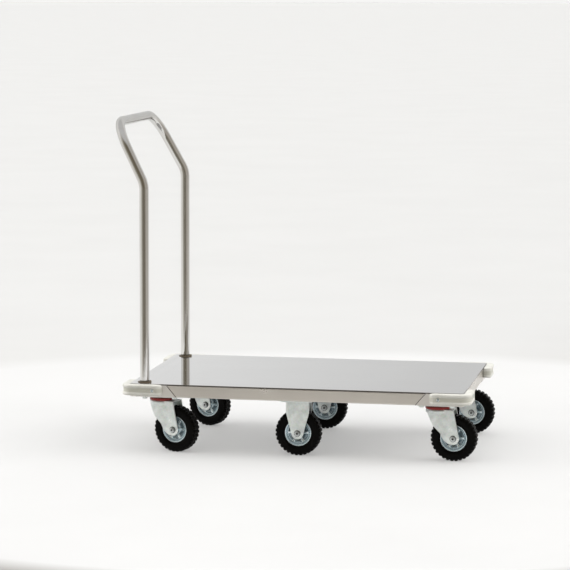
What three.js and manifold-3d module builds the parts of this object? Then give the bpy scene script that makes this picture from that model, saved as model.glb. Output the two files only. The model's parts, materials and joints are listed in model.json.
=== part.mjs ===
// Platform trolley for crates: a flat sheet-metal deck on a folded frame, a bent push handle
// at the rear, four swivel casters at the corners and two fixed casters in the middle.
// Millimetres, +Z up, wheels on z = 0. +X is the leading end and the handle stands at the
// rear, -X. The right side is -Y.
import * as THREE from 'three';
import { mergeVertices } from 'three/addons/utils/BufferGeometryUtils.js';
import Module from 'manifold-3d';

const wasm = await Module();
wasm.setup();

// Deck and frame
const deckLength = 900;
const deckWidth = 560;
const deckHeight = 190;
const sheetThickness = 2;
const railHeight = 33;
const railDepth = 24;
const railWall = 2;
const railBend = 3;
const cornerTopReach = 100;
const cornerBottomReach = 128;
const cornerBend = 6;
const cornerPlateThickness = 3;
const seat = 0.3;
const overrun = 5;

// Ribs and the member under the fixed casters
const memberHalfWidth = 46;
const memberWall = 2.5;
const ribInset = 265;
const ribHalfWidth = 22;
const ribDepth = 24;
const ribWall = 2;
const ribRim = 12;

// Corner bumpers
const bumperReach = 90;
const bumperProud = 21;
const bumperHeight = 29;
const bumperDrop = 1;
const bumperLip = 8;
const bumperGroove = 3;
const bumperCorner = 28;
const bumperEnd = 15;

// Push handle
const tubeRadius = 12.5;
const tubeWall = 1.5;
const handleHeight = 898;
const handleBendHeight = 724;
const handleLean = THREE.MathUtils.degToRad(27.6);
const handleConvergence = 26;
const elbowRadius = 70;
const cornerRadius = 88;
const tubeSides = 16;
const collarRadius = 18.5;
const collarThickness = 3;
const collarRecess = 0.5;
const collarScrewRadius = 2.4;
const collarScrewHeight = 2.2;
const plugLength = 30;

// Caster plates, their bolts and the swivel bearing
const swivelInset = 75;
const casterInset = 66;
const plateThickness = 4;
const plateHalfLong = 52;
const plateHalfShort = 44;
const plateCorner = 8;
const boltLong = 41;
const boltShort = 34;
const boltRadius = 4;
const boltHole = 4.4;
const hexRadius = 7.5;
const hexHeadHeight = 5;
const nutHeight = 6.5;
const bossRadius = 20;
const pinRadius = 6;
const pinHole = 6.5;
const pinHeadRadius = 11;
const pinHeadHeight = 5;
const sealRadius = 32.5;
const sealHeight = 11;

// Forks and axles
const trail = 44;
const legInner = 23;
const legThickness = 3;
const crownRadius = 33;
const crownFront = 31.5;
const crownRear = 45;
const frontBend = 9.5;
const kneeFront = 10.5;
const kneeHeight = 95.5;
const shinRear = 9;
const shinHeight = 76;
const heelRear = 20;
const eyeRadius = 16;
const fixedLegHalfWidth = 31.5;
const fixedShoulderHeight = 118;
const axleRadius = 5;
const axleHole = 5.6;
const axleHexRadius = 9.2;
const axleHeadHeight = 6;
const axleNutHeight = 8;
const axleTip = 2.5;
const sleeveRadius = 7.5;

// Wheels
const wheelRadius = 62.5;
const tyreHalfWidth = 18.5;
const tyreSeatRadius = 33;
const rimLipRadius = 36;
const rimLipHalf = 14.5;
const rimLipWidth = 3;
const rimSeatHalf = 12;
const hubRadius = 12;
const hubBore = 7.9;
const hubHalf = 22.4;
const discHalf = 7;
const discShoulder = 27;
const wheelSides = 24;
const rimSides = 16;
const roundSides = 12;

// Angle of each corner caster at rest, the trailing wheel turned towards the right side
const restAngle = {
  rear_right: THREE.MathUtils.degToRad(15),
  rear_left: THREE.MathUtils.degToRad(18),
  front_right: THREE.MathUtils.degToRad(2),
  front_left: THREE.MathUtils.degToRad(2),
};

// Levels, from the deck down and from the floor up
const sheetBottom = deckHeight - sheetThickness;
const frameTop = sheetBottom - seat;
const railBottom = frameTop - railHeight;
const cornerPlateTop = railBottom + cornerPlateThickness;
const plateTop = railBottom - seat;
const plateBottom = plateTop - plateThickness;
const sealTop = plateBottom - seat;
const sealBottom = sealTop - sealHeight;
const crownTop = sealBottom - seat;
const crownBottom = crownTop - legThickness;
const pinHeadTop = crownBottom - seat;
// A flat of the faceted tyre lies on the floor.
const axleHeight = wheelRadius * Math.cos(Math.PI / wheelSides);

// Caster places, set in from the deck's ends and sides, and the ribs between them
const swivelX = deckLength / 2 - swivelInset;
const casterY = deckWidth / 2 - casterInset;
const ribCentre = deckLength / 2 - ribInset;

// The handle's posts stand over the outer plate bolts of the rear casters.
const postX = swivelX + boltLong;
const postY = casterY + boltShort;
const barHeight = handleHeight - tubeRadius;
const barX = postX + (barHeight - handleBendHeight) * Math.tan(handleLean);
const barY = postY - handleConvergence;
const bumperTop = deckHeight - bumperDrop;
const bumperBottom = bumperTop - bumperHeight;
const legOuter = legInner + legThickness;

const finishes = {
  deck: { color: 0xc9c9c8, roughness: 0.22, metalness: 1 },
  frame: { color: 0xb3aca2, roughness: 0.35, metalness: 0.9 },
  hidden: { color: 0xa9abac, roughness: 0.45, metalness: 0.9 },
  handle: { color: 0xb5b0a8, roughness: 0.25, metalness: 1 },
  bumper: { color: 0xcfd3cf, roughness: 0.45, metalness: 0 },
  zinc: { color: 0xc8d0d0, roughness: 0.35, metalness: 0.8 },
  fastener: { color: 0xa8adae, roughness: 0.35, metalness: 0.9 },
  seal: { color: 0x8f2a26, roughness: 0.55, metalness: 0 },
  tyre: { color: 0x17130f, roughness: 0.7, metalness: 0 },
};

function solidOf(geometry) {
  const bare = geometry.clone();
  bare.deleteAttribute('normal');
  bare.deleteAttribute('uv');
  const merged = mergeVertices(bare);
  const vertProperties = new Float32Array(merged.attributes.position.array);
  const triVerts = new Uint32Array(merged.index.array);
  return new wasm.Manifold(new wasm.Mesh({ numProp: 3, vertProperties, triVerts }));
}

function geometryOf(solid) {
  const mesh = solid.getMesh();
  const geometry = new THREE.BufferGeometry();
  geometry.setAttribute('position', new THREE.BufferAttribute(mesh.vertProperties, 3));
  geometry.setIndex(new THREE.BufferAttribute(mesh.triVerts, 1));
  const flat = geometry.toNonIndexed();
  flat.computeVertexNormals();
  return flat;
}

function join(first, ...others) {
  return geometryOf(others.reduce((sum, part) => sum.add(solidOf(part)), solidOf(first)));
}

function cut(body, ...tools) {
  return geometryOf(tools.reduce((rest, tool) => rest.subtract(solidOf(tool)), solidOf(body)));
}

function common(first, second) {
  return geometryOf(solidOf(first).intersect(solidOf(second)));
}

function box(low, high) {
  const size = high.map((value, axis) => value - low[axis]);
  const geometry = new THREE.BoxGeometry(...size);
  return geometry.translate(...low.map((value, axis) => value + size[axis] / 2));
}

// An outline extruded up from a level
function slab(shape, bottom, height, curveSegments = 4) {
  const settings = { depth: height, bevelEnabled: false, curveSegments };
  return new THREE.ExtrudeGeometry(shape, settings).translate(0, 0, bottom);
}

// An outline of x and z extruded along +Y from y = start
function sidePlate(shape, start, thickness, curveSegments = 5) {
  const settings = { depth: thickness, bevelEnabled: false, curveSegments };
  const geometry = new THREE.ExtrudeGeometry(shape, settings).rotateX(Math.PI / 2);
  return geometry.translate(0, start + thickness, 0);
}

function upright(radius, x, y, bottom, top, sides = roundSides) {
  const geometry = new THREE.CylinderGeometry(radius, radius, top - bottom, sides);
  return geometry.rotateX(Math.PI / 2).translate(x, y, (bottom + top) / 2);
}

// A round bar along Y through (x, z)
function crosswise(radius, x, z, start, end, sides = roundSides) {
  const geometry = new THREE.CylinderGeometry(radius, radius, end - start, sides);
  return geometry.translate(x, (start + end) / 2, z);
}

function roundedRectangle(halfX, halfY, radius) {
  const shape = new THREE.Shape();
  const x = halfX - radius;
  const y = halfY - radius;
  shape.absarc(x, y, radius, 0, Math.PI / 2);
  shape.absarc(-x, y, radius, Math.PI / 2, Math.PI);
  shape.absarc(-x, -y, radius, Math.PI, Math.PI * 1.5);
  shape.absarc(x, -y, radius, Math.PI * 1.5, Math.PI * 2);
  return shape;
}

function roundHole(shape, x, y, radius) {
  const hole = new THREE.Path();
  hole.absarc(x, y, radius, 0, Math.PI * 2, true);
  shape.holes.push(hole);
}

// The sheet has a hole for each post, with a shallow recess round it where the collar lies.
function deckSheet() {
  const shape = roundedRectangle(deckLength / 2, deckWidth / 2, cornerBend);
  const sides = [-1, 1];
  for (const side of sides) roundHole(shape, -postX, side * postY, tubeRadius + seat);
  const sheet = slab(shape, sheetBottom, sheetThickness, tubeSides / 2);
  const recesses = sides.map((side) => {
    const floor = deckHeight - collarRecess;
    return upright(collarRadius + seat, -postX, side * postY, floor, deckHeight + overrun, tubeSides);
  });
  return cut(sheet, ...recesses);
}

// A channel that opens inwards, its outer face on y = 0 and its ends cut on a slant,
// longer at the top than at the bottom.
function rail(frameLength) {
  const shape = new THREE.Shape();
  shape.moveTo(railDepth, 0);
  shape.absarc(railBend, railBend, railBend, Math.PI * 1.5, Math.PI, true);
  shape.absarc(railBend, railHeight - railBend, railBend, Math.PI, Math.PI / 2, true);
  shape.lineTo(railDepth, railHeight);
  shape.lineTo(railDepth, railHeight - railWall);
  shape.lineTo(railWall, railHeight - railWall);
  shape.lineTo(railWall, railWall);
  shape.lineTo(railDepth, railWall);
  const geometry = new THREE.ExtrudeGeometry(shape, { depth: 1, bevelEnabled: false, curveSegments: 3 });
  const place = geometry.attributes.position;
  for (let i = 0; i < place.count; i += 1) {
    const [inward, up] = [place.getX(i), place.getY(i)];
    const half = frameLength / 2 - cornerReachAt(railBottom + up) - seat;
    place.setXYZ(i, place.getZ(i) > 0 ? half : -half, inward, up);
  }
  geometry.computeVertexNormals();
  return geometry;
}

// How far a corner bracket's wall reaches along the frame at a height
function cornerReachAt(height) {
  const share = (height - railBottom) / railHeight;
  return THREE.MathUtils.lerp(cornerBottomReach, cornerTopReach, share);
}

// Moves the ends of an extruded bracket outline to the slant that the rails are cut to.
function slantEnds(geometry) {
  const end = Math.fround(cornerBottomReach);
  const place = geometry.attributes.position;
  for (let i = 0; i < place.count; i += 1) {
    const reach = cornerReachAt(railBottom + place.getZ(i));
    if (place.getX(i) === end) place.setX(i, reach);
    if (place.getY(i) === end) place.setY(i, reach);
  }
  return geometry;
}

// Folded corner, its outer corner at the origin and its walls along +X and +Y: a bottom plate
// with the bolt holes of the caster, and two walls with slanted ends.
function cornerBracket(holes) {
  const walls = new THREE.Shape();
  walls.moveTo(cornerBottomReach, railWall);
  walls.lineTo(cornerBend, railWall);
  walls.absarc(cornerBend, cornerBend, cornerBend - railWall, Math.PI * 1.5, Math.PI, true);
  walls.lineTo(railWall, cornerBottomReach);
  walls.lineTo(0, cornerBottomReach);
  walls.absarc(cornerBend, cornerBend, cornerBend, Math.PI, Math.PI * 1.5);
  walls.lineTo(cornerBottomReach, 0);
  const floor = new THREE.Shape();
  floor.moveTo(cornerBottomReach, 0);
  floor.lineTo(cornerBottomReach, cornerTopReach);
  floor.lineTo(cornerTopReach, cornerBottomReach);
  floor.lineTo(0, cornerBottomReach);
  floor.absarc(cornerBend, cornerBend, cornerBend, Math.PI, Math.PI * 1.5);
  for (const [x, y] of holes) roundHole(floor, x, y, boltHole);
  const wall = slantEnds(slab(walls, 0, railHeight));
  return join(wall, slantEnds(slab(floor, 0, cornerPlateThickness)));
}

// Outline of a corner bumper in plan, set back from its outermost faces by a depth
function bumperOutline(setback) {
  const proud = bumperProud - setback;
  const corner = bumperCorner - setback;
  const centre = corner - proud;
  const end = bumperEnd - setback;
  const tip = bumperReach - setback;
  const shape = new THREE.Shape();
  shape.moveTo(-seat, tip);
  shape.absarc(end - proud, tip - end, end, Math.PI / 2, Math.PI);
  shape.absarc(centre, centre, corner, Math.PI, Math.PI * 1.5);
  shape.absarc(tip - end, end - proud, end, Math.PI * 1.5, Math.PI * 2);
  shape.lineTo(tip, -seat);
  shape.absarc(cornerBend, cornerBend, cornerBend + seat, Math.PI * 1.5, Math.PI, true);
  return shape;
}

function cornerBumper() {
  const full = bumperOutline(0);
  const upperLip = slab(full, bumperTop - bumperLip, bumperLip, 2);
  const lowerLip = slab(full, bumperBottom, bumperLip, 2);
  const web = slab(bumperOutline(bumperGroove), bumperBottom, bumperHeight, 2);
  return join(web, upperLip, lowerLip);
}

// Channel across the frame between the side rails, its floor level with their undersides and
// its walls rising to the deck
function crossMember() {
  const reach = deckWidth / 2 - railDepth - seat;
  const shape = new THREE.Shape();
  shape.moveTo(-memberHalfWidth, -reach);
  shape.lineTo(memberHalfWidth, -reach);
  shape.lineTo(memberHalfWidth, reach);
  shape.lineTo(-memberHalfWidth, reach);
  for (const side of [-1, 1]) {
    for (const x of [-boltShort, boltShort]) {
      for (const y of [-boltShort, boltShort]) roundHole(shape, x, side * casterY + y, boltHole);
    }
  }
  const floor = slab(shape, railBottom, cornerPlateThickness);
  const walls = [-1, 1].map((side) => {
    const faces = [side * memberHalfWidth, side * (memberHalfWidth - memberWall)];
    const low = [Math.min(...faces), -reach, railBottom];
    return box(low, [Math.max(...faces), reach, frameTop]);
  });
  return join(floor, ...walls);
}

// Top-hat rib under the deck, between the side rails
function deckRib() {
  const hat = [
    [-ribHalfWidth - ribRim, 0],
    [-ribHalfWidth - ribRim, -ribWall],
    [-ribHalfWidth, -ribWall],
    [-ribHalfWidth, -ribDepth],
    [ribHalfWidth, -ribDepth],
    [ribHalfWidth, -ribWall],
    [ribHalfWidth + ribRim, -ribWall],
    [ribHalfWidth + ribRim, 0],
    [ribHalfWidth - ribWall, 0],
    [ribHalfWidth - ribWall, ribWall - ribDepth],
    [ribWall - ribHalfWidth, ribWall - ribDepth],
    [ribWall - ribHalfWidth, 0],
  ];
  const shape = new THREE.Shape(hat.map(([x, z]) => new THREE.Vector2(x, frameTop + z)));
  const reach = deckWidth / 2 - railDepth - seat;
  return sidePlate(shape, -reach, 2 * reach);
}

// A tube's centre line: straight runs between corner points, each corner rounded by an arc.
// The stations lie only where the line starts, ends or bends.
class BentLine extends THREE.Curve {
  constructor(corners, radii, arcSteps) {
    super();
    this.stations = [];
    this.tangents = [];
    corners.forEach((corner, index) => {
      const before = corners[index - 1] ?? corner;
      const after = corners[index + 1] ?? corner;
      const arriving = corner.clone().sub(before).normalize();
      const leaving = after.clone().sub(corner).normalize();
      if (index === 0) this.addStation(corner, leaving);
      else if (index === corners.length - 1) this.addStation(corner, arriving);
      else this.addArc(corner, arriving, leaving, radii[index - 1], arcSteps);
    });
  }

  addStation(point, tangent) {
    this.stations.push(point.clone());
    this.tangents.push(tangent.clone());
  }

  addArc(corner, arriving, leaving, radius, steps) {
    const turn = arriving.angleTo(leaving);
    const inward = leaving.clone().sub(arriving).normalize();
    const centre = corner.clone().addScaledVector(inward, radius / Math.cos(turn / 2));
    const axis = arriving.clone().cross(leaving).normalize();
    const spoke = corner.clone().addScaledVector(arriving, -radius * Math.tan(turn / 2)).sub(centre);
    for (let step = 0; step <= steps; step += 1) {
      const angle = (turn * step) / steps;
      const point = spoke.clone().applyAxisAngle(axis, angle).add(centre);
      this.addStation(point, arriving.clone().applyAxisAngle(axis, angle));
    }
  }

  getPointAt(share) {
    return this.stations[Math.round(share * (this.stations.length - 1))].clone();
  }

  getTangentAt(share) {
    return this.tangents[Math.round(share * (this.tangents.length - 1))].clone();
  }
}

function handleTube() {
  const foot = cornerPlateTop + seat;
  const corners = [
    new THREE.Vector3(-postX, -postY, foot),
    new THREE.Vector3(-postX, -postY, handleBendHeight),
    new THREE.Vector3(-barX, -barY, barHeight),
    new THREE.Vector3(-barX, barY, barHeight),
    new THREE.Vector3(-postX, postY, handleBendHeight),
    new THREE.Vector3(-postX, postY, foot),
  ];
  const radii = [elbowRadius, cornerRadius, cornerRadius, elbowRadius];
  const line = new BentLine(corners, radii, 5);
  const section = new THREE.Shape();
  section.absarc(0, 0, tubeRadius, 0, Math.PI * 2);
  roundHole(section, 0, 0, tubeRadius - tubeWall);
  return new THREE.ExtrudeGeometry(section, {
    extrudePath: line,
    steps: line.stations.length - 1,
    curveSegments: tubeSides / 2,
  });
}

// Flange round the foot of a post, with a small screw towards the leading end
function handleCollar() {
  const shape = new THREE.Shape();
  shape.absarc(0, 0, collarRadius, 0, Math.PI * 2);
  roundHole(shape, 0, 0, tubeRadius + seat);
  const bottom = deckHeight - collarRecess + seat;
  const top = bottom + collarThickness;
  const ring = slab(shape, bottom, collarThickness, tubeSides / 2);
  const screwX = (collarRadius + tubeRadius + seat) / 2;
  const screwTop = top + collarScrewHeight;
  const screw = upright(collarScrewRadius, screwX, 0, top - collarThickness / 2, screwTop, 8);
  return join(ring, screw);
}

// Plug in the post's foot, with the bolt that pulls it down through bracket and caster plate
function handleAnchor() {
  const foot = cornerPlateTop + seat;
  const headTop = plateBottom - seat;
  const plug = upright(tubeRadius - tubeWall - seat, 0, 0, foot, foot + plugLength);
  const shank = upright(boltRadius, 0, 0, headTop - hexHeadHeight / 2, foot + plugLength / 2, 8);
  const head = upright(hexRadius, 0, 0, headTop - hexHeadHeight, headTop, 6);
  return join(plug, shank, head);
}

// A plate bolt: head under the plate, shank through it and the carrier, nut on the carrier
function plateBolt(x, y) {
  const nutBottom = cornerPlateTop + seat;
  return [
    upright(hexRadius, x, y, plateBottom - hexHeadHeight, plateBottom + plateThickness / 2, 6),
    upright(boltRadius, x, y, plateBottom, nutBottom + nutHeight / 2, 6),
    upright(hexRadius, x, y, nutBottom, nutBottom + nutHeight, 6),
  ];
}

// Top plate of a swivel caster with its bearing boss, king pin and bolts. At a post the
// handle's own bolt goes through the outer corner hole.
function swivelPlate(postSide) {
  const shape = roundedRectangle(plateHalfLong, plateHalfShort, plateCorner);
  const bolts = [];
  for (const x of [-boltLong, boltLong]) {
    for (const y of [-boltShort, boltShort]) {
      const isPost = postSide !== 0 && x < 0 && Math.sign(y) === postSide;
      if (isPost) roundHole(shape, x, y, boltHole);
      else bolts.push(...plateBolt(x, y));
    }
  }
  const plate = slab(shape, plateBottom, plateThickness);
  const boss = upright(bossRadius, 0, 0, sealBottom, plateBottom + plateThickness / 2, rimSides);
  const pin = upright(pinRadius, 0, 0, pinHeadTop - pinHeadHeight / 2, plateBottom, 12);
  const pinHead = upright(pinHeadRadius, 0, 0, pinHeadTop - pinHeadHeight, pinHeadTop, 12);
  return join(plate, boss, pin, pinHead, ...bolts);
}

function dustSeal() {
  const inner = bossRadius + 2 * seat;
  const outline = [
    [inner, sealBottom],
    [sealRadius, sealBottom],
    [sealRadius, sealTop],
    [inner, sealTop],
    [inner, sealBottom],
  ].map(([radius, height]) => new THREE.Vector2(radius, height));
  return new THREE.LatheGeometry(outline, rimSides).rotateX(Math.PI / 2);
}

// Side view of a swivel fork's legs: wide under the crown, a slanted front edge with a knee,
// and a lower end that is broad ahead of the axle and round behind it.
function swivelLegs() {
  const shape = new THREE.Shape();
  const lowest = axleHeight - eyeRadius;
  shape.moveTo(-crownFront, crownTop);
  shape.lineTo(-kneeFront, kneeHeight);
  shape.lineTo(shinRear, shinHeight);
  shape.quadraticCurveTo(heelRear, lowest, trail, lowest);
  shape.absarc(trail, axleHeight, eyeRadius, Math.PI * 1.5, Math.PI * 2.06);
  shape.lineTo(crownRear, crownTop);
  return shape;
}

// Plan of a swivel fork's legs: straight along the wheel, curled in round the front
function swivelLegPlan() {
  const rear = trail + eyeRadius + overrun;
  const shape = new THREE.Shape();
  shape.moveTo(rear, legOuter);
  shape.absarc(-frontBend, 0, legOuter, Math.PI / 2, Math.PI * 1.5);
  shape.lineTo(rear, -legOuter);
  shape.lineTo(rear, -legInner);
  shape.absarc(-frontBend, 0, legInner, Math.PI * 1.5, Math.PI / 2, true);
  shape.lineTo(rear, legInner);
  return shape;
}

function swivelFork() {
  const across = legOuter + overrun;
  const low = axleHeight - eyeRadius - overrun;
  const sideView = sidePlate(swivelLegs(), -across, 2 * across);
  const legs = common(sideView, slab(swivelLegPlan(), low, crownTop + overrun - low, 8));
  const crown = upright(crownRadius, 0, 0, crownBottom, crownTop, rimSides);
  const bridge = box([-frontBend, -legOuter, crownBottom], [crownRear, legOuter, crownTop]);
  const pin = upright(pinHole, 0, 0, crownBottom - overrun, crownTop + overrun);
  return cut(join(crown, bridge, legs), pin, crosswise(axleHole, trail, axleHeight, -across, across, 10));
}

// Leg of a fixed fork: upright sides down to a shoulder, then tapered to the eye at the axle
function fixedLeg() {
  const shape = new THREE.Shape();
  const top = plateBottom + plateThickness / 2;
  shape.moveTo(-fixedLegHalfWidth, top);
  shape.lineTo(-fixedLegHalfWidth, fixedShoulderHeight);
  shape.absarc(0, axleHeight, eyeRadius, Math.PI * 1.08, Math.PI * 1.92);
  shape.lineTo(fixedLegHalfWidth, fixedShoulderHeight);
  shape.lineTo(fixedLegHalfWidth, top);
  return shape;
}

function fixedFork() {
  const shape = roundedRectangle(plateHalfShort, plateHalfLong, plateCorner);
  const plate = slab(shape, plateBottom, plateThickness);
  const bolts = [];
  for (const x of [-boltShort, boltShort]) {
    for (const y of [-boltShort, boltShort]) bolts.push(...plateBolt(x, y));
  }
  const across = legOuter + overrun;
  const hole = crosswise(axleHole, 0, axleHeight, -across, across, 10);
  const legs = [-legOuter, legInner].map((start) => sidePlate(fixedLeg(), start, legThickness));
  return cut(join(plate, ...legs, ...bolts), hole);
}

function axleBolt(axleX) {
  const face = legOuter + seat;
  const tip = face + axleNutHeight + axleTip;
  return join(
    crosswise(axleRadius, axleX, axleHeight, -face - axleHeadHeight / 2, tip, 8),
    crosswise(axleHexRadius, axleX, axleHeight, -face - axleHeadHeight, -face, 6),
    crosswise(axleHexRadius, axleX, axleHeight, face, face + axleNutHeight, 6),
  );
}

// A ring about the Y axis from a half section of radius and width, mirrored about its middle
function wheelRing(halfSection, sides) {
  const mirrored = [...halfSection].reverse().map(([radius, width]) => [radius, -width]);
  const loop = [...mirrored, ...halfSection, mirrored[0]];
  const points = loop.map(([radius, width]) => new THREE.Vector2(radius, width));
  return new THREE.LatheGeometry(points, sides, Math.PI / sides);
}

function axleSleeve(axleX) {
  const section = [[sleeveRadius, legInner - seat], [axleHole, legInner - seat]];
  return wheelRing(section, 12).translate(axleX, 0, axleHeight);
}

function rim() {
  const section = [
    [tyreSeatRadius, rimSeatHalf],
    [rimLipRadius, rimSeatHalf],
    [rimLipRadius, rimLipHalf],
    [rimLipRadius - rimLipWidth, rimLipHalf],
    [discShoulder, discHalf],
    [hubRadius, discHalf],
    [hubRadius, hubHalf],
    [hubBore, hubHalf],
  ];
  return wheelRing(section, rimSides);
}

function tyre() {
  const beadHalf = rimSeatHalf - seat;
  const beadOuter = rimLipRadius + 2 * seat;
  const crownHalfShare = 0.45;
  const shoulderHalfShare = 0.86;
  const shoulderRadiusShare = 0.93;
  const sideRadiusShare = 0.66;
  const section = [
    [wheelRadius, crownHalfShare * tyreHalfWidth],
    [shoulderRadiusShare * wheelRadius, shoulderHalfShare * tyreHalfWidth],
    [sideRadiusShare * wheelRadius, tyreHalfWidth],
    [beadOuter, rimLipHalf + seat],
    [beadOuter, beadHalf],
    [tyreSeatRadius + 2 * seat, beadHalf],
  ];
  return wheelRing(section, wheelSides);
}

const group = new THREE.Group();

function add(parent, name, geometry, finish) {
  const mesh = new THREE.Mesh(geometry, new THREE.MeshStandardMaterial(finishes[finish]));
  mesh.name = name;
  parent.add(mesh);
  return mesh;
}

function addFrame() {
  add(group, 'deck_sheet', deckSheet(), 'deck');
  const sides = [
    ['side_rail_right', deckLength, 0, deckWidth / 2],
    ['side_rail_left', deckLength, Math.PI, deckWidth / 2],
    ['end_rail_front', deckWidth, Math.PI / 2, deckLength / 2],
    ['end_rail_rear', deckWidth, -Math.PI / 2, deckLength / 2],
  ];
  for (const [name, frameLength, angle, distance] of sides) {
    const mesh = add(group, name, rail(frameLength), 'frame');
    mesh.position.set(distance * Math.sin(angle), -distance * Math.cos(angle), railBottom);
    mesh.rotation.z = angle;
  }
  add(group, 'deck_cross_member', crossMember(), 'hidden');
  for (const [name, x] of [['deck_rib_rear', -ribCentre], ['deck_rib_front', ribCentre]]) {
    add(group, name, deckRib(), 'hidden').position.x = x;
  }
}

// The four corners, by the quarter turn that brings the rear right corner there
const corners = [
  { name: 'rear_right', x: -1, y: -1, quarter: 0 },
  { name: 'front_right', x: 1, y: -1, quarter: 1 },
  { name: 'front_left', x: 1, y: 1, quarter: 2 },
  { name: 'rear_left', x: -1, y: 1, quarter: 3 },
];

function addCorner({ name, x, y, quarter }) {
  const corner = new THREE.Group();
  corner.position.set((x * deckLength) / 2, (y * deckWidth) / 2, 0);
  corner.rotation.z = (quarter * Math.PI) / 2;
  group.add(corner);
  const bracket = cornerBracket(boltPlaces(quarter % 2 === 1));
  add(corner, `corner_bracket_${name}`, bracket, 'frame').position.z = railBottom;
  add(corner, `corner_bumper_${name}`, cornerBumper(), 'bumper');
}

// Bolt places of a corner's caster plate, measured inwards from the frame's outer corner.
// At every second corner the plate's long side lies along the bracket's other wall.
function boltPlaces(turned) {
  const long = [-boltLong, boltLong].map((offset) => swivelInset + offset);
  const short = [-boltShort, boltShort].map((offset) => casterInset + offset);
  return long.flatMap((x) => short.map((y) => (turned ? [y, x] : [x, y])));
}

function addWheel(parent, name, axleX) {
  for (const [part, geometry, finish] of [['rim', rim(), 'zinc'], ['tyre', tyre(), 'tyre']]) {
    add(parent, `${part}_${name}`, geometry, finish).position.set(axleX, 0, axleHeight);
  }
}

function addSwivelCaster({ name, x, y }) {
  const place = new THREE.Group();
  place.position.set(x * swivelX, y * casterY, 0);
  group.add(place);
  add(place, `swivel_plate_${name}`, swivelPlate(x < 0 ? y : 0), 'zinc');
  const turning = new THREE.Group();
  turning.rotation.z = -restAngle[name];
  place.add(turning);
  add(turning, `dust_seal_${name}`, dustSeal(), 'seal');
  add(turning, `fork_${name}`, swivelFork(), 'zinc');
  add(turning, `axle_bolt_${name}`, axleBolt(trail), 'fastener');
  add(turning, `axle_sleeve_${name}`, axleSleeve(trail), 'fastener');
  addWheel(turning, name, trail);
}

function addFixedCaster(name, y) {
  const place = new THREE.Group();
  place.position.set(0, y * casterY, 0);
  group.add(place);
  add(place, `fork_${name}`, fixedFork(), 'zinc');
  add(place, `axle_bolt_${name}`, axleBolt(0), 'fastener');
  add(place, `axle_sleeve_${name}`, axleSleeve(0), 'fastener');
  addWheel(place, name, 0);
}

function addHandle() {
  add(group, 'handle_tube', handleTube(), 'handle');
  for (const [side, y] of [['right', -postY], ['left', postY]]) {
    add(group, `handle_collar_${side}`, handleCollar(), 'handle').position.set(-postX, y, 0);
    add(group, `handle_anchor_${side}`, handleAnchor(), 'fastener').position.set(-postX, y, 0);
  }
}

addFrame();
corners.forEach(addCorner);
addHandle();
corners.forEach(addSwivelCaster);
addFixedCaster('middle_right', -1);
addFixedCaster('middle_left', 1);

// The origin lies midway along the whole length, from the handle's bar to the front wheels.
const extent = new THREE.Box3().setFromObject(group, true);
group.position.x = -(extent.min.x + extent.max.x) / 2;

export default group;
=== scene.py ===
import json
import math

import bmesh
import bpy
from mathutils import Matrix, Vector

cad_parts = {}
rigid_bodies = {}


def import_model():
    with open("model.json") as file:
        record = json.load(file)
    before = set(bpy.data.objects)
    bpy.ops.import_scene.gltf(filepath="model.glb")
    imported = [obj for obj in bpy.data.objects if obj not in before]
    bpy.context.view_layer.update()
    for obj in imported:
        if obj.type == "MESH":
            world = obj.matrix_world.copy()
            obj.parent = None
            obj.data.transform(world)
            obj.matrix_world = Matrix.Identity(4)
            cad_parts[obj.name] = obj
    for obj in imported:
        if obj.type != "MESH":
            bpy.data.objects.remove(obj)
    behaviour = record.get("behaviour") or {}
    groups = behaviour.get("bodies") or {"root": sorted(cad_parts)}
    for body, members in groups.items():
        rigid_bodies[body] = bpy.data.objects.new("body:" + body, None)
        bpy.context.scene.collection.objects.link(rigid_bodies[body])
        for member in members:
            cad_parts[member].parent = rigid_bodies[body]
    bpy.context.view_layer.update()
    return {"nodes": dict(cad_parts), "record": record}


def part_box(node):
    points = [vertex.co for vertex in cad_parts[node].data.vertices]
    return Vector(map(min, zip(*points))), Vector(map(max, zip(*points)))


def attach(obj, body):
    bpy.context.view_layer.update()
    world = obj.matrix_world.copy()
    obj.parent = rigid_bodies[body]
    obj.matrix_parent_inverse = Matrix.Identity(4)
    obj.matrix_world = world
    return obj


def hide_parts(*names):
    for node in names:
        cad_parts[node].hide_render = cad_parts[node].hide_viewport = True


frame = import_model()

# Camera, from the photograph's perspective
VIEW_AZIMUTH = math.radians(10.56)
VIEW_ELEVATION = math.radians(6.74)
VIEW_ROLL = math.radians(0.14)
CAMERA_FROM_DECK = Vector((1.2300, -7.0216, 1.2759))
IMAGE_SIDE = 570
FOCAL_PIXELS = 2615.8
SENSOR = 36.0

# Rounded edges: their widths, and the angle between faces from which an edge is rounded
EDGE = 0.0006
SHEET_EDGE = 0.0009
ROUNDED_FROM = math.radians(50)
# Faces closer to level with each other than this are joined before the rounding
LEVEL_ANGLE = math.radians(1)
# The angle from which an edge is shaded sharp, and the mean width below which a face is shaded smooth
SHARP_ANGLE = math.radians(38)
FLAT_FROM = 0.0022
# Corner points closer than this are one point
SAME_POINT = 1e-6
SQUARE = ((-1, -1), (1, -1), (1, 1), (-1, 1))

DECK_CENTRE = Vector((frame["record"]["mounts"][0]["pos_m"][0], 0, 0))
# The slant of the rails' ends, and for each axis the deck's middle and the slant's reach at no height
RAIL_SLOPE = 28 / 33
RAIL_SEAMS = (("X", DECK_CENTRE.x, 0.1905), ("Y", 0.0, 0.0205))
# Half the width of the painted shadow line in each seam's gap
SEAM_HALF = 0.0016

CASTERS = ("rear_right", "front_right", "front_left", "rear_left")
MIDDLES = ("middle_right", "middle_left")
JOINTS = {joint["name"]: joint for joint in frame["record"]["behaviour"]["joints"]}


# Small mesh tools

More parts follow.
